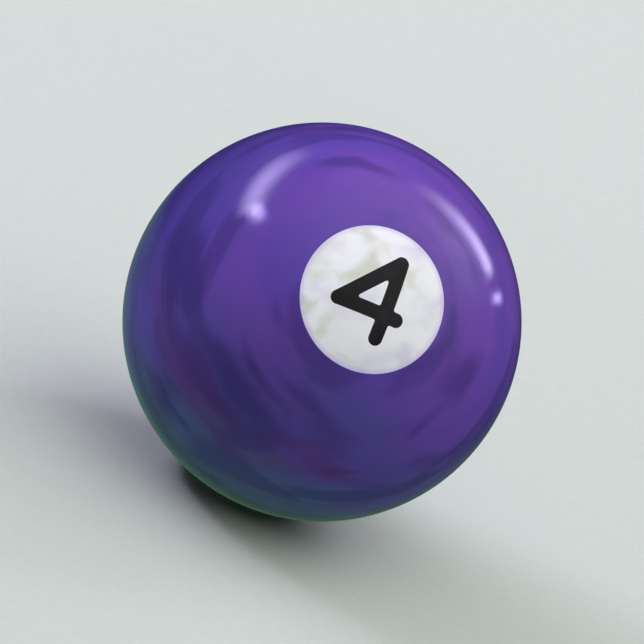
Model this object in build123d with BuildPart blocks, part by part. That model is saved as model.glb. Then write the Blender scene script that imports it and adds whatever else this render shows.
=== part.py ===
"""Numbered pool ball: a purple resin ball with a white number disc cast into each of two sides.

Five solids, fitted face to face: the ball's body with two round pockets, a white disc in each pocket, and
a black digit in each disc. Every outer face lies on one sphere, so the ball rolls true. The origin is the
ball's centre. +Z is up, and the front number looks towards -Y, leaning back so that it faces partly up.
"""

import os
from math import asin, cos, degrees, radians, sin

from build123d import *

# Ball
ball_diameter = 57.15
ball_radius = ball_diameter / 2

# Number axis: the line through both discs, in the YZ plane, raised above -Y
number_tilt = 30

# Number disc: a plug with a flat inner face and a chamfered inner edge
disc_diameter = 20.6
disc_depth = 5.0
disc_chamfer = 0.5

# Digit: a closed 4 of three round-ended strokes, measured from the disc's centre
stroke_width = 2.05
digit_depth = 2.2
corner_radius = 0.3
stem_x = 2.0
stem_top = 5.95
stem_bottom = -5.15
bar_y = -1.8
bar_left = -4.9
bar_right = 3.8

# Each number plane stands on the ball's centre: its normal is the number axis, and its Y is the digit's
# upright. Half a turn about X takes the front number to the back one, which is then upside down.
axis_y = cos(radians(number_tilt))
axis_z = sin(radians(number_tilt))
number_planes = {
    "front": Plane(origin=(0, 0, 0), x_dir=(1, 0, 0), z_dir=(0, -axis_y, axis_z)),
    "back": Plane(origin=(0, 0, 0), x_dir=(1, 0, 0), z_dir=(0, axis_y, -axis_z)),
}

# Wall between a disc and the body, in section: first coordinate along the number axis, second across it.
# It runs from the rim on the ball's surface down to the flat inner face, and ends on the axis.
disc_radius = disc_diameter / 2
rim_angle = degrees(asin(disc_radius / ball_radius))
rim_height = ball_radius * cos(radians(rim_angle))
disc_floor = ball_radius - disc_depth
disc_wall = (
    (rim_height, disc_radius),
    (disc_floor + disc_chamfer, disc_radius),
    (disc_floor, disc_radius - disc_chamfer),
    (disc_floor, 0),
)


def section_plane(number_plane):
    """The plane that cuts a number in half along its axis: X runs out along the axis, Y across it."""
    return Plane(origin=(0, 0, 0), x_dir=number_plane.z_dir, z_dir=number_plane.y_dir)


def digit_blank(number_plane):
    """The digit before its outer face is rounded: three strokes, with their crossings rounded."""
    with BuildPart() as blank:
        with BuildSketch(number_plane.offset(ball_radius - digit_depth)) as outline:
            for start, end in (
                ((stem_x, stem_bottom), (stem_x, stem_top)),
                ((stem_x, stem_top), (bar_left, bar_y)),
                ((bar_left, bar_y), (bar_right, bar_y)),
            ):
                middle = (Vector(*start) + Vector(*end)) / 2
                SlotCenterPoint(center=middle, point=end, height=stroke_width)
            straight_edges = outline.edges().filter_by(GeomType.LINE)
            crossings = [
                vertex for vertex in outline.vertices()
                if sum(vertex in edge.vertices() for edge in straight_edges) == 2
            ]
            fillet(crossings, radius=corner_radius)
        extrude(amount=digit_depth)
    return blank.part


os.makedirs("parts", exist_ok=True)

# Body: the ball turned about the number axis, with a disc's wall at each end
with BuildPart() as ball_body:
    with BuildSketch(section_plane(number_planes["front"])):
        with BuildLine():
            Polyline(*disc_wall)
            mirror(about=Plane.YZ)
            CenterArc(center=(0, 0), radius=ball_radius, start_angle=rim_angle, arc_size=180 - 2 * rim_angle)
            Line((disc_floor, 0), (-disc_floor, 0))
        make_face()
    revolve(axis=Axis((0, 0, 0), number_planes["front"].z_dir))
ball_body.part.label = "ball_body"
export_step(ball_body.part, "parts/ball_body.step")

for side, number_plane in number_planes.items():
    # Disc: the same wall under a cap of the ball's surface, pocketed for its digit
    with BuildPart() as number_disc:
        with BuildSketch(section_plane(number_plane)):
            with BuildLine():
                Polyline(*disc_wall)
                CenterArc(center=(0, 0), radius=ball_radius, start_angle=0, arc_size=rim_angle)
                Line((disc_floor, 0), (ball_radius, 0))
            make_face()
        revolve(axis=Axis((0, 0, 0), number_plane.z_dir))
        add(digit_blank(number_plane), mode=Mode.SUBTRACT)
    number_disc.part.label = f"number_disc_{side}"
    export_step(number_disc.part, f"parts/number_disc_{side}.step")

    # Digit: cut back to the ball's surface
    with BuildPart() as numeral:
        add(digit_blank(number_plane))
        with Locations(number_plane):
            Sphere(radius=ball_radius, mode=Mode.INTERSECT)
    numeral.part.label = f"numeral_{side}"
    export_step(numeral.part, f"parts/numeral_{side}.step")
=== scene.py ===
# %% [markdown]
# # A numbered pool ball
# A pool ball is cast from phenolic resin, ground round and polished. Its number isn't printed on: a white
# resin disc is cast into each of two opposite sides, and a black resin digit into each disc, so that the
# number lasts as the ball wears. This lesson models those five pieces, gives each its resin, and lights
# them on a plain studio floor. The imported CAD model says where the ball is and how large, so it is loaded
# first, and every size below comes from it or from the maker's drawing.

from math import asin, atan, cos, degrees, pi, radians, sin, tan

import bmesh
import bpy
from mathutils import Matrix, Vector


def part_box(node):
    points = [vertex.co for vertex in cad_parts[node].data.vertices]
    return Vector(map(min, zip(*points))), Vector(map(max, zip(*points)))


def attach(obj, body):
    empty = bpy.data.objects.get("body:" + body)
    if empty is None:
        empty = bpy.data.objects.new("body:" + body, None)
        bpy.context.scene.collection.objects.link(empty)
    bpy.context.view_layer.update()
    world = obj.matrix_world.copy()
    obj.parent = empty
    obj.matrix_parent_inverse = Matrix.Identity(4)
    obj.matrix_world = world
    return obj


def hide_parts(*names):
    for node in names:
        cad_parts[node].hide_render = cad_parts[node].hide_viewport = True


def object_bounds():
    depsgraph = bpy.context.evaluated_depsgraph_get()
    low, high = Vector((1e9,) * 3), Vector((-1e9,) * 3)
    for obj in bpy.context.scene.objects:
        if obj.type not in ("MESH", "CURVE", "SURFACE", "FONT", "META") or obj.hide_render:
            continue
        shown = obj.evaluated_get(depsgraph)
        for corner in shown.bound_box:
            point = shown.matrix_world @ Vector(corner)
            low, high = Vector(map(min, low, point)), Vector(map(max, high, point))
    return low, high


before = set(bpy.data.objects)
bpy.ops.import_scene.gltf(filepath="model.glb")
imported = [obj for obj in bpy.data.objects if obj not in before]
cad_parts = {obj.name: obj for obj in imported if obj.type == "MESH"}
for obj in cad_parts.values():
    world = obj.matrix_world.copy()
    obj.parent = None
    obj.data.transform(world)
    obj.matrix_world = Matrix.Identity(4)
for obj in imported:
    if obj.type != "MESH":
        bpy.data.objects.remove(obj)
cad_low, cad_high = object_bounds()
centre = (cad_low + cad_high) / 2
ball_radius = (cad_high.z - cad_low.z) / 2
print(f"ball: {2000 * ball_radius:.2f} mm across, centre {tuple(round(1000 * c, 2) for c in centre)} mm")

# %% [markdown]
# ## The number axis
# Both numbers sit on one line through the ball's centre. It is easiest to model a number lying flat, with
# that line as Z and the digit's upright as Y, and to turn the finished piece into place at the end. The
# front number leans back 30 degrees from upright. Half a turn about X puts the same number on the back,
# upside down, which is how a real ball is numbered.

# %% Turns that put a flat number in place
NUMBER_TILT = radians(30)
TO_FRONT = Matrix.Translation(centre) @ Matrix.Rotation(pi / 2 - NUMBER_TILT, 4, "X")
TO_BACK = Matrix.Translation(centre) @ Matrix.Rotation(pi, 4, "X") @ Matrix.Translation(-centre) @ TO_FRONT
number_axis = TO_FRONT.to_3x3() @ Vector((0, 0, 1))


def direction(azimuth, elevation):
    """A direction from the ball: azimuth 0 is towards the front, -Y, and 90 towards +X; in degrees."""
    a, e = radians(azimuth), radians(elevation)
    return Vector((sin(a) * cos(e), -cos(a) * cos(e), sin(e)))


print("the front number faces", tuple(round(c, 3) for c in number_axis))

# %% [markdown]
# ## Sizes
# The disc's width comes from its CAD node, whose X runs straight across it. The depths, the stroke and the
# points of the digit repeat the drawing, in millimetres, and one factor turns them into metres.

# %% Sizes of the disc and the digit
MM = 0.001
disc_low, disc_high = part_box("number_disc_front")
disc_radius = (disc_high.x - disc_low.x) / 2
rim_angle = asin(disc_radius / ball_radius)
disc_floor = ball_radius - 5.0 * MM
disc_chamfer = 0.5 * MM
digit_floor = ball_radius - 2.2 * MM
stroke_width = 2.05 * MM
crossing_radius = 0.3 * MM
stem_top = Vector((2, 5.95, 0)) * MM
stem_bottom = Vector((2, -5.15, 0)) * MM
bar_left = Vector((-4.9, -1.8, 0)) * MM
bar_right = Vector((3.8, -1.8, 0)) * MM
print(f"disc: {2000 * disc_radius:.2f} mm across, rim {degrees(rim_angle):.1f} degrees from the number axis")

# %% [markdown]
# ## Turned pieces
# The body and the discs are round about the number axis, like work on a lathe. So each starts as a profile
# of a few points on one side of the axis. The curved part of the profile is one vertex spun about the
# ball's centre, and the whole profile is then spun once round the axis. A sphere primitive would need
# pockets cut into it, and its rings wouldn't line up with the discs.

# %% Turn a profile into a closed solid
RING_STEPS = 256
MERGE_DISTANCE = 1e-7


def turned(before, arc_start, arc_end, after):
    """A solid turned about Z. before and after are (distance from Z, height) points each side of the arc."""
    bm = bmesh.new()
    profile = [bm.verts.new((x, 0, z)) for x, z in before]
    profile.append(bm.verts.new((ball_radius * sin(arc_start), 0, ball_radius * cos(arc_start))))
    for first, second in zip(profile, profile[1:]):
        bm.edges.new((first, second))
    arc_steps = round(degrees(arc_end - arc_start))
    arc = bmesh.ops.spin(bm, geom=[profile[-1]], cent=(0, 0, 0), axis=(0, 1, 0),
                         angle=arc_end - arc_start, steps=arc_steps)
    last = next(part for part in arc["geom_last"] if isinstance(part, bmesh.types.BMVert))
    for x, z in after:
        point = bm.verts.new((x, 0, z))
        bm.edges.new((last, point))
        last = point
    bmesh.ops.spin(bm, geom=bm.verts[:] + bm.edges[:], cent=(0, 0, 0), axis=(0, 0, 1),
                   angle=2 * pi, steps=RING_STEPS, use_merge=True)
    bmesh.ops.remove_doubles(bm, verts=bm.verts[:], dist=MERGE_DISTANCE)
    bmesh.ops.recalc_face_normals(bm, faces=bm.faces[:])
    return bm


def new_object(name, bm):
    """Puts a bmesh into a new object of that name, and frees it."""
    mesh = bpy.data.meshes.new(name)
    bm.to_mesh(mesh)
    bm.free()
    made = bpy.data.objects.new(name, mesh)
    bpy.context.scene.collection.objects.link(made)
    return made


wall = [
    (0, disc_floor),
    (disc_radius - disc_chamfer, disc_floor),
    (disc_radius, disc_floor + disc_chamfer),
]
far_wall = [(x, -z) for x, z in reversed(wall)]
ball_casting = new_object("ball_casting", turned(wall, rim_angle, pi - rim_angle, far_wall))
disc_blank = new_object("disc_blank", turned([], 0, rim_angle, reversed(wall)))
for piece in (ball_casting, disc_blank):
    print(piece.name, len(piece.data.polygons), "faces")

# %% [markdown]
# ## The digit
# The 4 is written with a round pen: three strokes of one width with round ends. A round-ended stroke is a
# circle whose far half is slid along, thickened into a bar. Exact booleans join the three bars, but they
# dislike walls that coincide, so each bar starts a hair narrower than the one before ends, and a hair
# higher. A level cut through the joined bars then gives one clean outline.

# %% Three strokes joined into one 4
PEN_STEPS = 72
HAIR = 0.01 * MM


def stroke(start, end, lift):
    """A round-ended bar from start to end, tucked in by a hair at its start."""
    along = end - start
    bm = bmesh.new()
    bmesh.ops.create_circle(bm, cap_ends=True, segments=PEN_STEPS, radius=stroke_width / 2)
    near_half = [vertex for vertex in bm.verts if vertex.co.dot(along) <= 0]
    far_half = [vertex for vertex in bm.verts if vertex.co.dot(along) > 0]
    tuck = 1 - HAIR / (stroke_width / 2)
    bmesh.ops.scale(bm, verts=near_half, vec=(tuck, tuck, 1))
    bmesh.ops.translate(bm, verts=far_half, vec=along)
    bmesh.ops.translate(bm, verts=bm.verts[:], vec=start + Vector((0, 0, lift)))
    raised = bmesh.ops.extrude_face_region(bm, geom=bm.faces[:])
    top = [part for part in raised["geom"] if isinstance(part, bmesh.types.BMVert)]
    bmesh.ops.translate(bm, verts=top, vec=(0, 0, stroke_width))
    bmesh.ops.recalc_face_normals(bm, faces=bm.faces[:])
    return new_object("stroke", bm)


def boolean(piece, other, operation):
    """Cuts, joins or intersects a piece with another one, exactly, and keeps the result as its mesh."""
    modifier = piece.modifiers.new("boolean", "BOOLEAN")
    modifier.object = other
    modifier.operation = operation
    modifier.solver = "EXACT"
    evaluated = piece.evaluated_get(bpy.context.evaluated_depsgraph_get())
    result = bpy.data.meshes.new_from_object(evaluated)
    piece.modifiers.clear()
    piece.data = result


digit = stroke(stem_bottom, stem_top, 0)
for number, (start, end) in enumerate(((stem_top, bar_left), (bar_left, bar_right)), start=1):
    bar = stroke(start, end, number * HAIR)
    boolean(digit, bar, "UNION")
    bpy.data.objects.remove(bar)
print("joined strokes:", len(digit.data.polygons), "faces")

# %% [markdown]
# ## Softening the crossings
# A moulded digit has no sharp inner corners: resin wouldn't fill them. On the outline a sharp corner is a
# vertex where the line turns by more than a pen step does, and a vertex bevel rounds it. A bevel is told
# how far back to start, which for a given radius depends on how sharp the turn is.

# %% Outline, rounded corners, and a cutter for the disc
SHARP_TURN = radians(20)


def turn_at(vertex):
    """How far the outline turns at a vertex, in radians."""
    first, second = (edge.other_vert(vertex).co - vertex.co for edge in vertex.link_edges)
    return pi - first.angle(second)


bm = bmesh.new()
bm.from_mesh(digit.data)
bmesh.ops.bisect_plane(bm, geom=bm.verts[:] + bm.edges[:] + bm.faces[:], plane_co=(0, 0, stroke_width / 2),
                       plane_no=(0, 0, 1), clear_inner=True, clear_outer=True)
bmesh.ops.remove_doubles(bm, verts=bm.verts[:], dist=HAIR)
crossings = [vertex for vertex in bm.verts if turn_at(vertex) > SHARP_TURN]
for vertex in crossings:
    reach = crossing_radius * tan(turn_at(vertex) / 2)
    bmesh.ops.bevel(bm, geom=[vertex], offset=reach, affect="VERTICES", segments=8, profile=0.5, material=-1)
bmesh.ops.triangle_fill(bm, edges=bm.edges[:], use_beauty=True)
bmesh.ops.translate(bm, verts=bm.verts[:], vec=(0, 0, digit_floor - stroke_width / 2))
raised = bmesh.ops.extrude_face_region(bm, geom=bm.faces[:])
top = [part for part in raised["geom"] if isinstance(part, bmesh.types.BMVert)]
bmesh.ops.translate(bm, verts=top, vec=(0, 0, 2 * (ball_radius - digit_floor)))
bmesh.ops.recalc_face_normals(bm, faces=bm.faces[:])
bm.to_mesh(digit.data)
bm.free()
print("digit:", len(crossings), "inner corners rounded,", len(digit.data.polygons), "faces")

# %% [markdown]
# ## Inlays that fit
# The plug and its digit are cut from one turned blank with one cutter, so they share every edge and meet
# without a gap: the digit is what lies inside the cutter, and the disc is what lies outside it. Where the
# cutter passes just beside a point of the blank, an exact cut leaves a sliver, which a merge closes up.

# %% Cut the disc and the digit from the blank
SLIVER = 0.002 * MM
front_disc = new_object("front_disc", bmesh.new())
front_disc.data = disc_blank.data.copy()
boolean(front_disc, digit, "DIFFERENCE")
front_digit = new_object("front_digit", bmesh.new())
front_digit.data = disc_blank.data.copy()
boolean(front_digit, digit, "INTERSECT")
for cut in (front_disc, front_digit):
    bm = bmesh.new()
    bm.from_mesh(cut.data)
    bmesh.ops.remove_doubles(bm, verts=bm.verts[:], dist=SLIVER)
    bm.to_mesh(cut.data)
    bm.free()
for helper in (disc_blank, digit):
    bpy.data.objects.remove(helper)
print("disc:", len(front_disc.data.polygons), "faces; digit:", len(front_digit.data.polygons), "faces")

# %% [markdown]
# ## Ground true
# A ball is ground and polished after its inlays are cast, so body, disc and digit share one surface with
# no step. Three pieces shaded on their own would each bend the light a little at their edges. So every
# point of the outer surface is given the sphere's own normal, and a reflection runs straight across them.

# %% Place each piece and give it the ball's normals
SURFACE_TOLERANCE = 0.002 * MM


def placed(piece, name, matrix):
    """A copy of a flat-lying piece, turned into place in its mesh, with the ball's normals outside."""
    made = new_object(name, bmesh.new())
    made.data = piece.data.copy()
    made.data.name = name
    made.data.transform(matrix)
    made.data.shade_smooth()
    normals = []
    for polygon in made.data.polygons:
        corners = [made.data.vertices[index].co - centre for index in polygon.vertices]
        outside = all(abs(corner.length - ball_radius) < SURFACE_TOLERANCE for corner in corners)
        normals += [corner.normalized() if outside else polygon.normal for corner in corners]
    made.data.normals_split_custom_set(normals)
    return made


pieces = {
    "ball_body": placed(ball_casting, "ball_casting_polished", TO_FRONT),
    "number_disc_front": placed(front_disc, "disc_inlay_front", TO_FRONT),
    "number_disc_back": placed(front_disc, "disc_inlay_back", TO_BACK),
    "numeral_front": placed(front_digit, "digit_inlay_front", TO_FRONT),
    "numeral_back": placed(front_digit, "digit_inlay_back", TO_BACK),
}
for helper in (ball_casting, front_disc, front_digit):
    bpy.data.objects.remove(helper)
for node, piece in pieces.items():
    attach(piece, "root")
    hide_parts(node)
    print(piece.name, "stands for", node)

# %% [markdown]
# ## Tools for materials
# Colours are given as sRGB, but a shader works with linear light, so one function converts them.
# Another adds a node, sets its options, and fills or links its inputs.

# %% Colour and node helpers
def linear(hex_colour):
    """A hex sRGB colour as linear red, green, blue and alpha."""
    channels = [int(hex_colour[place:place + 2], 16) / 255 for place in (1, 3, 5)]
    return [c / 12.92 if c <= 0.04045 else ((c + 0.055) / 1.055) ** 2.4 for c in channels] + [1]


def add_node(tree, kind, inputs=None, **options):
    """Adds a node. inputs maps a socket's name or number to a value, or to the output that feeds it."""
    made = tree.nodes.new(kind)
    for name, value in options.items():
        setattr(made, name, value)
    for socket, value in (inputs or {}).items():
        if isinstance(value, bpy.types.NodeSocket):
            tree.links.new(value, made.inputs[socket])
        else:
            made.inputs[socket].default_value = value
    return made


def new_material(name):
    """An empty node material, and its tree."""
    material = bpy.data.materials.new(name)
    material.use_nodes = True
    material.node_tree.nodes.clear()
    return material, material.node_tree


# Mix nodes keep their colour sockets after the number and vector ones
MIX_FACTOR, MIX_A, MIX_B, MIX_RESULT = 0, 6, 7, 2


def layered(tree, colour, layers):
    """A colour with other colours laid over it in turn, each where its mask is 1."""
    for mask, over in layers:
        colour = add_node(tree, "ShaderNodeMix", data_type="RGBA", inputs={
            MIX_FACTOR: mask, MIX_A: colour, MIX_B: over,
        }).outputs[MIX_RESULT]
    return colour

# %% [markdown]
# ## A pattern that belongs to the number axis
# This ball's streaks of pigment curl round the number axis, as they would in resin stirred about it. A
# Mapping node of type Texture turns the object's coordinates to that axis, and divides them by the size of
# one streak, which can then be written in millimetres: long across the axis, short along it. The noise has
# a fourth coordinate, so that each layer of streaks can be a different slice of the same pattern.

# %% Streaks of pigment
def pattern_space(tree, size):
    """Object coordinates turned to the number axis and measured in streaks of that size in millimetres."""
    where = add_node(tree, "ShaderNodeTexCoord")
    return add_node(tree, "ShaderNodeMapping", vector_type="TEXTURE", inputs={
        "Vector": where.outputs["Object"],
        "Location": centre,
        "Rotation": (pi / 2 - NUMBER_TILT, 0, 0),
        "Scale": [length * MM for length in size],
    }).outputs["Vector"]


def streaks(tree, size, low, high, shift, most=1):
    """A mask of pigment streaks of one size: 0 where the noise is under low, and most where over high."""
    noise = add_node(tree, "ShaderNodeTexNoise", noise_dimensions="4D", inputs={
        "Vector": pattern_space(tree, size), "W": shift, "Scale": 1, "Detail": 2.5, "Roughness": 0.45,
        "Distortion": 0.5,
    })
    return add_node(tree, "ShaderNodeMapRange", interpolation_type="SMOOTHSTEP", inputs={
        "Value": noise.outputs["Fac"], "From Min": low, "From Max": high, "To Max": most,
    }).outputs["Result"]

# %% [markdown]
# ## One polish for three resins
# Body, discs and digits are ground and polished together, so they share one glassy surface and one set of
# hairline scratches. A scratch is rougher than the polish round it and a little lower, so it blurs a
# highlight where it crosses one. Phenolic resin has an IOR of about 1.6, which mirrors a pale studio so
# strongly that the purple turns milky towards the rim. It is matched lower, and the rim keeps its colour.

# %% Scratches and the polished surface
RESIN_IOR = 1.3
# Real scratches are a few hundredths of a millimetre wide: drawn 0.55 mm wide, so that they show
SCRATCH_SIZE = (0.55, 14, 0.55)
SCRATCH_DEPTH = 0.02 * MM


def hairlines(tree):
    """Hairline scratches from play, in three directions: 1 on a scratch and 0 off it."""
    total = None
    for angle in (20, 75, 140):
        turned_space = add_node(tree, "ShaderNodeMapping", inputs={
            "Vector": pattern_space(tree, SCRATCH_SIZE), "Rotation": (0, radians(angle), radians(angle / 3)),
        })
        noise = add_node(tree, "ShaderNodeTexNoise", inputs={
            "Vector": turned_space.outputs["Vector"], "Scale": 1, "Detail": 1,
        })
        line = add_node(tree, "ShaderNodeMapRange", inputs={
            "Value": noise.outputs["Fac"], "From Min": 0.66, "From Max": 0.72,
        }).outputs["Result"]
        total = line if total is None else add_node(tree, "ShaderNodeMath", operation="MAXIMUM", inputs={
            0: total, 1: line,
        }).outputs["Value"]
    return total


def polished_resin(tree, colour, roughness, scratch_roughness, **uniform):
    """The surface that all three resins share: glassy, with scratches that blur it a little."""
    scratch = hairlines(tree)
    blur = add_node(tree, "ShaderNodeMapRange", inputs={
        "Value": scratch, "To Min": roughness, "To Max": scratch_roughness,
    })
    bump = add_node(tree, "ShaderNodeBump", invert=True, inputs={
        "Height": scratch, "Strength": 0.04, "Distance": SCRATCH_DEPTH,
    })
    surface = add_node(tree, "ShaderNodeBsdfPrincipled", inputs={
        "Base Color": colour, "Roughness": blur.outputs["Result"], "Normal": bump.outputs["Normal"],
        "IOR": RESIN_IOR, **uniform,
    })
    add_node(tree, "ShaderNodeOutputMaterial", inputs={"Surface": surface.outputs["BSDF"]})

# %% [markdown]
# ## Where the painted shade lies
# Streaks alone would scatter colour evenly, so two more masks place darker colour on the ball as a whole,
# as painted shade. One covers the side that faces a given way, with a wavy edge. The other is a band round
# the waist, halfway between the discs, near the ball's edge as the camera sees it, painted darkest.

# %% Masks for a side and for the waist
WAVE = (16, 16, 7)


def towards(tree, way, start, end, unevenness):
    """A wavy-edged mask of the side of the ball that faces one way: 0 up to start, 1 from end, in radii."""
    where = add_node(tree, "ShaderNodeTexCoord")
    depth = add_node(tree, "ShaderNodeVectorMath", operation="DOT_PRODUCT", inputs={
        0: where.outputs["Object"], 1: way / ball_radius,
    })
    waves = add_node(tree, "ShaderNodeTexNoise", noise_dimensions="4D", inputs={
        "Vector": pattern_space(tree, WAVE), "W": 12, "Scale": 1, "Detail": 3, "Roughness": 0.5,
    })
    wavy = add_node(tree, "ShaderNodeMath", operation="MULTIPLY_ADD", inputs={
        0: waves.outputs["Fac"], 1: unevenness, 2: depth.outputs["Value"],
    })
    return add_node(tree, "ShaderNodeMapRange", interpolation_type="SMOOTHSTEP", inputs={
        "Value": wavy.outputs["Value"], "From Min": start + unevenness / 2, "From Max": end + unevenness / 2,
    }).outputs["Result"]


def waist(tree):
    """A painted shade mask of the band halfway between the discs: 1 along it, 0 from well up each side."""
    where = add_node(tree, "ShaderNodeTexCoord")
    height = add_node(tree, "ShaderNodeVectorMath", operation="DOT_PRODUCT", inputs={
        0: where.outputs["Object"], 1: number_axis / ball_radius,
    })
    distance = add_node(tree, "ShaderNodeMath", operation="ABSOLUTE", inputs={0: height.outputs["Value"]})
    return add_node(tree, "ShaderNodeMapRange", interpolation_type="SMOOTHSTEP", inputs={
        "Value": distance.outputs["Value"], "From Min": 0.6, "From Max": 0.1, "To Max": 0.85,
    }).outputs["Result"]

# %% [markdown]
# ## Purple resin
# The body is phenolic resin, cast and polished: hard and glassy, with its colour all through. Its violet is
# uneven in soft streaks. Painted shade darkens it on the upper left, along the waist, which the camera sees
# near the ball's edge, and on the underside, in indigo and plum, with a slate painted reflection of green
# cloth low down. Thin dark wisps run over everything. So the colour is built as a painter builds it, in
# layers from the broadest to the finest, with the size of each kind of streak in millimetres. A lavender
# specular tint keeps the edges of highlights from looking grey.

# %% Purple phenolic resin, cast and polished
# Painted shade: the side of the ball towards this way, the underside, is coloured darker
SHADED_UNDERSIDE_WAY = direction(-34, -70)
# Painted shade: the upper left, as the camera sees it, is coloured darker
SHADED_LEFT_WAY = direction(-87, 23)
CLOUD = (26, 26, 12)
STREAK = (20, 20, 8)
STAIN = (18, 18, 6)
WISP = (22, 22, 4)
purple_resin, tree = new_material("purple_phenolic_resin_cast_and_polished")
violet = layered(tree, linear("#65469F"), (
    (streaks(tree, CLOUD, 0.46, 0.60, 13.3), linear("#6D4AA4")),
    (streaks(tree, STREAK, 0.46, 0.62, 0.7), linear("#5B459F")),
))
underside_shade_and_reflection = layered(tree, linear("#524493"), (
    (streaks(tree, STREAK, 0.48, 0.66, 9.1), linear("#474C88")),
    (streaks(tree, STAIN, 0.48, 0.68, 28.7, 0.75), linear("#552F6C")),
    # painted reflection of green cloth, low on the underside
    (towards(tree, SHADED_UNDERSIDE_WAY, 0.55, 0.95, 0.4), linear("#4A5F83")),
))
colour = layered(tree, violet, (
    # painted shade on the upper left
    (towards(tree, SHADED_LEFT_WAY, 0.72, 1.0, 0.3), linear("#4F4190")),
    # painted shade along the waist, near the ball's edge
    (waist(tree), linear("#41317E")),
    # painted shade on the underside, with a wavy edge
    (towards(tree, SHADED_UNDERSIDE_WAY, 0.06, 0.54, 0.6), underside_shade_and_reflection),
    (streaks(tree, STREAK, 0.52, 0.66, 28.7, 0.55), linear("#3A2E6C")),
    (streaks(tree, WISP, 0.53, 0.64, 12.6, 0.5), linear("#372D6C")),
))
polished_resin(tree, colour, 0.10, 0.2, **{"Specular Tint": linear("#E0D4FF")})
pieces["ball_body"].data.materials.append(purple_resin)
print(purple_resin.name, len(tree.nodes), "nodes")

# %% [markdown]
# ## White resin
# The discs are white phenolic resin, cast and polished with the ball. Handling leaves it faintly clouded,
# greenish in places and lavender in others. Its last millimetre, where purple resin shines through from
# beside it, takes a little of that colour.

# %% White phenolic resin, cast and polished
TINTED_RIM = 0.9 * MM
white_resin, tree = new_material("white_phenolic_resin_cast_and_polished")
ivory = layered(tree, linear("#F2F2F6"), (
    (streaks(tree, (5, 5, 5), 0.46, 0.72, 2.0), linear("#D2D5C5")),
    (streaks(tree, (7, 7, 7), 0.46, 0.74, 6.0), linear("#DCD8EC")),
))
across = add_node(tree, "ShaderNodeVectorMath", operation="MULTIPLY", inputs={
    0: pattern_space(tree, (1, 1, 1)), 1: (1, 1, 0),
})
from_axis = add_node(tree, "ShaderNodeVectorMath", operation="LENGTH", inputs={0: across.outputs["Vector"]})
rim_tint = add_node(tree, "ShaderNodeMapRange", interpolation_type="SMOOTHSTEP", inputs={
    "Value": from_axis.outputs["Value"], "From Min": (disc_radius - TINTED_RIM) / MM,
    "From Max": disc_radius / MM, "To Max": 0.5,
})
colour = layered(tree, ivory, ((rim_tint.outputs["Result"], linear("#C4B4EC")),))
polished_resin(tree, colour, 0.12, 0.22)
for node in ("number_disc_front", "number_disc_back"):
    pieces[node].data.materials.append(white_resin)
print(white_resin.name, len(tree.nodes), "nodes")

# %% [markdown]
# ## Black resin
# The digit is black phenolic resin, cast and polished with the rest. It takes the polish a little less well,
# and faint greyer patches show where play has dulled it. Its specular level is below the others', so that
# the bright dome doesn't turn it grey.

# %% Black phenolic resin, cast and polished
black_resin, tree = new_material("black_phenolic_resin_cast_and_polished")
colour = layered(tree, linear("#0F0F12"), (
    (streaks(tree, (2.5, 2.5, 2.5), 0.45, 0.75, 3.0), linear("#1D1D23")),
))
polished_resin(tree, colour, 0.16, 0.26, **{"Specular IOR Level": 0.3})
for node in ("numeral_front", "numeral_back"):
    pieces[node].data.materials.append(black_resin)
print(black_resin.name, len(tree.nodes), "nodes")

# %% [markdown]
# ## A floor that goes on
# The ball stands on a pale studio floor. A flat plane would show an edge from low down, so the floor is a
# wide shallow dish: level under the ball, and curving up into a wall all round, with no corner to see.

# %% Floor and wall in one sweep
FLOOR_RADIUS = 1.5
SWEEP_RADIUS = 0.9
WALL_HEIGHT = 0.4
floor_height = cad_low.z
bm = bmesh.new()
middle = bm.verts.new((0, 0, floor_height))
edge = bm.verts.new((FLOOR_RADIUS, 0, floor_height))
bm.edges.new((middle, edge))
sweep = bmesh.ops.spin(bm, geom=[edge], cent=(FLOOR_RADIUS, 0, floor_height + SWEEP_RADIUS), axis=(0, -1, 0),
                       angle=pi / 2, steps=32)
lip = next(part for part in sweep["geom_last"] if isinstance(part, bmesh.types.BMVert))
wall_top = bmesh.ops.extrude_vert_indiv(bm, verts=[lip])["verts"]
bmesh.ops.translate(bm, verts=wall_top, vec=(0, 0, WALL_HEIGHT))
bmesh.ops.spin(bm, geom=bm.verts[:] + bm.edges[:], cent=(0, 0, 0), axis=(0, 0, 1), angle=2 * pi, steps=128,
               use_merge=True)
bmesh.ops.remove_doubles(bm, verts=bm.verts[:], dist=MERGE_DISTANCE)
bmesh.ops.recalc_face_normals(bm, faces=bm.faces[:])
bmesh.ops.reverse_faces(bm, faces=bm.faces[:])
floor = new_object("studio_floor", bm)
floor.data.shade_smooth()
print("floor at", round(1000 * floor_height, 2), "mm, wall", FLOOR_RADIUS + SWEEP_RADIUS, "m away")

# %% [markdown]
# ## Studio paper
# Background paper is uncoated and matte, so it has almost no shine, and its fibres make a faint grain. The
# wall is painted darker as it rises, painted shade where light would fall off, which keeps its upper part
# from lighting the ball from behind.

# %% Pale studio paper, uncoated
# Real paper grain is some ten times finer: drawn 1 mm coarse, so that it shows
PAPER_GRAIN = 1 * MM
WALL_DARKENS_FROM = 0.2
paper, tree = new_material("pale_studio_paper_matte")
where = add_node(tree, "ShaderNodeTexCoord")
grain = add_node(tree, "ShaderNodeTexNoise", inputs={
    "Vector": where.outputs["Object"], "Scale": 1 / PAPER_GRAIN, "Detail": 2,
})
height = add_node(tree, "ShaderNodeSeparateXYZ", inputs={"Vector": where.outputs["Object"]})
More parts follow.
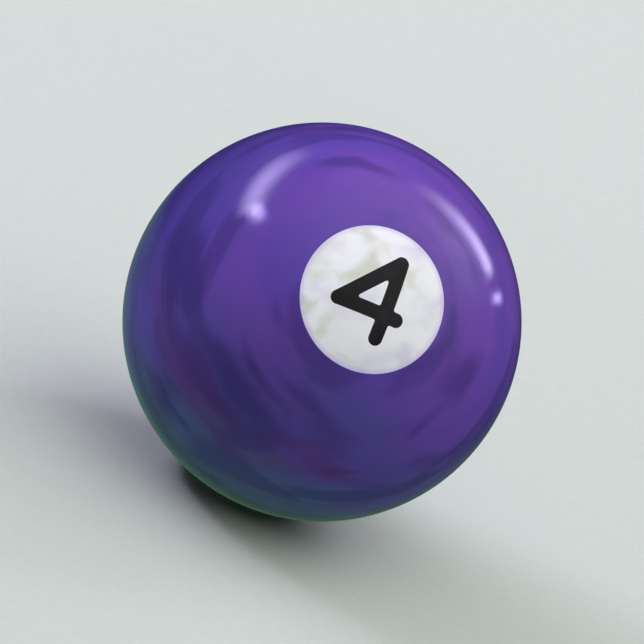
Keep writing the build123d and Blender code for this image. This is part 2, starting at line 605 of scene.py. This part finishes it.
# Painted shade: the wall's colour darkens from WALL_DARKENS_FROM up to its top
shade = add_node(tree, "ShaderNodeMapRange", interpolation_type="SMOOTHSTEP", inputs={
    "Value": height.outputs["Z"], "From Min": WALL_DARKENS_FROM, "From Max": SWEEP_RADIUS + WALL_HEIGHT,
})
colour = layered(tree, linear("#B5BEB2"), (
    (grain.outputs["Fac"], linear("#BEC6BA")),
    (shade.outputs["Result"], linear("#2A2E2A")),
))
surface = add_node(tree, "ShaderNodeBsdfPrincipled", inputs={
    "Base Color": colour, "Roughness": 0.9, "Specular IOR Level": 0.1,
})
add_node(tree, "ShaderNodeOutputMaterial", inputs={"Surface": surface.outputs["BSDF"]})
floor.data.materials.append(paper)
print(paper.name, len(tree.nodes), "nodes")

# %% [markdown]
# ## A painted reflection of green cloth, seen only in the polish
# Pale paper would ring a polished ball with white, and this ball is known with the green of a table in its
# lower edge. So the paper is kept out of reflections. A round of green, which only reflections see, lies a
# hair above it behind the ball: a painted reflection of cloth. Napped wool baize is matte and looks evenly
# bright from any side, so the round is no lit cloth but a glow that fades towards its edge: lit by the
# lamps, it would lie in the ball's own shadow.

# %% Green glow for the painted reflection
CLOTH_RADIUS = 0.2
CLOTH_FADES_FROM = 0.05
CLOTH_THICKNESS = 0.3 * MM
cloth_middle = Vector((-0.06, 0.05, floor_height + CLOTH_THICKNESS))
bm = bmesh.new()
bmesh.ops.create_circle(bm, cap_ends=True, segments=64, radius=CLOTH_RADIUS)
bmesh.ops.translate(bm, verts=bm.verts[:], vec=cloth_middle)
cloth = new_object("painted_reflection_round", bm)
cloth.visible_camera = False
cloth.visible_diffuse = False
cloth.visible_shadow = False
floor.visible_glossy = False
print("cloth lies", round(1000 * CLOTH_THICKNESS, 1), "mm above the paper")

# %% A glow painted as green wool baize, seen in reflections
reflection_glow, tree = new_material("green_baize_painted_reflection_glow")
where = add_node(tree, "ShaderNodeTexCoord")
from_middle = add_node(tree, "ShaderNodeVectorMath", operation="DISTANCE", inputs={
    0: where.outputs["Object"], 1: cloth_middle,
})
brightness = add_node(tree, "ShaderNodeMapRange", interpolation_type="SMOOTHSTEP", inputs={
    "Value": from_middle.outputs["Value"], "From Min": CLOTH_RADIUS, "From Max": CLOTH_FADES_FROM,
})
# Painted reflection: the round glows, though it is no lamp
glow = add_node(tree, "ShaderNodeEmission", inputs={
    "Color": linear("#567F58"), "Strength": brightness.outputs["Result"],
})
add_node(tree, "ShaderNodeOutputMaterial", inputs={"Surface": glow.outputs["Emission"]})
cloth.data.materials.append(reflection_glow)
print(reflection_glow.name, len(tree.nodes), "nodes")

# %% [markdown]
# ## Camera
# The camera looks at the front number from a little to its left and below it, and is tipped so that the
# digit leans to the right. A long lens shows the ball from far off, as if drawn flat. The share of the
# frame that the ball fills then gives the distance: a sphere's outline is where the view just grazes it.

# %% Camera
CAMERA_ROLL = radians(26.4)
LENS = 250
BALL_SHARE = 0.62
camera_data = bpy.data.cameras.new("camera")
camera_data.lens = LENS
camera = bpy.data.objects.new("camera", camera_data)
bpy.context.scene.collection.objects.link(camera)
bpy.context.scene.camera = camera
to_camera = direction(-12, 17.7)
half_frame = camera_data.sensor_width / 2 / LENS
camera_distance = ball_radius / sin(atan(BALL_SHARE * half_frame))
level = (-to_camera).to_track_quat("-Z", "Y").to_matrix().to_4x4()
camera.matrix_world = (
    Matrix.Translation(centre + to_camera * camera_distance) @ level @ Matrix.Rotation(CAMERA_ROLL, 4, "Z")
)
print(f"camera: {1000 * camera_distance:.0f} mm from the ball's centre")

# %% [markdown]
# ## Light
# A polished ball is a mirror, so the lights are placed for what the ball reflects. A plain area lamp would
# leave hard-edged bars on it, so each lamp fades towards its four edges, as a diffuser does. Geometry's
# Parametric output says where on the lamp a point is, from 0 to 1 each way.

# %% A soft lamp
LIGHT_DISTANCE = 1.3


def lamp(name, start, end, width, radiance, rise=0.5, fall=0.5, colour="#FFFFFF"):
    """A soft lamp facing the ball, from one direction to another. rise and fall are shares of its length."""
    first, last = (centre + direction(*end_point) * LIGHT_DISTANCE for end_point in (start, end))
    along = last - first
    middle = (first + last) / 2
    data = bpy.data.lights.new(name, "AREA")
    data.shape = "RECTANGLE"
    data.size = along.length
    data.size_y = width
    # At this power a whole lamp has a radiance of 1, so that its nodes can say the radiance itself
    data.energy = pi * data.size * data.size_y
    data.use_nodes = True
    tree = data.node_tree
    tree.nodes.clear()
    place = add_node(tree, "ShaderNodeNewGeometry")
    apart = add_node(tree, "ShaderNodeSeparateXYZ", inputs={"Vector": place.outputs["Parametric"]})
    strength = radiance
    for way, edge, full in (("X", 0, rise), ("X", 1, 1 - fall), ("Y", 0, 0.5), ("Y", 1, 0.5)):
        fade = add_node(tree, "ShaderNodeMapRange", interpolation_type="SMOOTHSTEP", inputs={
            "Value": apart.outputs[way], "From Min": edge, "From Max": full,
        })
        strength = add_node(tree, "ShaderNodeMath", operation="MULTIPLY", inputs={
            0: strength, 1: fade.outputs["Result"],
        }).outputs["Value"]
    glow = add_node(tree, "ShaderNodeEmission", inputs={"Color": linear(colour), "Strength": strength})
    add_node(tree, "ShaderNodeOutputLight", inputs={"Surface": glow.outputs["Emission"]})
    made = bpy.data.objects.new(name, data)
    bpy.context.scene.collection.objects.link(made)
    back = (middle - centre).normalized()
    across = (along - back * along.dot(back)).normalized()
    turn = Matrix((across, back.cross(across), back)).transposed().to_4x4()
    made.matrix_world = Matrix.Translation(middle) @ turn
    made.visible_camera = False

# %% [markdown]
# ## Lamps behind both shoulders
# Each highlight is the mirror image of one lamp, so the two directions that a lamp stretches between decide
# where its highlight starts and ends. A long lamp behind each shoulder draws a streak that brightens slowly
# towards its end, and a short one beyond it gives a bright point. A large dim one softens the right side.

# %% Lamps
LAVENDER = "#E6DCFF"
LILAC = "#CFC0FF"
lamp("left_streak", (-162, 35), (-97, 29.8), 0.38, 20, 0.8, 0.15, LAVENDER)
lamp("left_point", (-109.5, 33), (-86.5, 36), 0.24, 44, 0.5, 0.5, LAVENDER)
lamp("right_streak", (160, 57), (121.5, 22.5), 0.38, 14, 0.85, 0.12, LAVENDER)
lamp("right_point", (111, 22.5), (128, 12.5), 0.11, 15, 0.5, 0.5, LILAC)
lamp("right_softbox", (150, 62), (95, 22), 1.0, 1.6)
print([light.name for light in bpy.data.lights])

# %% [markdown]
# ## A soft dome
# The world is a dome that is bright round one direction, high on the front right, and almost black away
# from it. It has no edges, so it shades the ball smoothly and leaves no shape in the polish.

# %% Dome
KEY_WAY = direction(32, 64)
world = bpy.data.worlds.new("studio_dome")
bpy.context.scene.world = world
world.use_nodes = True
tree = world.node_tree
tree.nodes.clear()
looking = add_node(tree, "ShaderNodeTexCoord")
facing_key = add_node(tree, "ShaderNodeVectorMath", operation="DOT_PRODUCT", inputs={
    0: looking.outputs["Generated"], 1: KEY_WAY,
})
glow = add_node(tree, "ShaderNodeMapRange", interpolation_type="SMOOTHSTEP", inputs={
    "Value": facing_key.outputs["Value"], "From Min": 0.42, "From Max": 1.0, "To Min": 0.02, "To Max": 1.82,
})
background = add_node(tree, "ShaderNodeBackground", inputs={
    "Color": linear("#FFFFFF"), "Strength": glow.outputs["Result"],
})
add_node(tree, "ShaderNodeOutputWorld", inputs={"Surface": background.outputs["Background"]})
# Standard keeps a material's colours as they were chosen
bpy.context.scene.view_settings.view_transform = "Standard"
print("dome brightest towards", tuple(round(c, 2) for c in KEY_WAY))
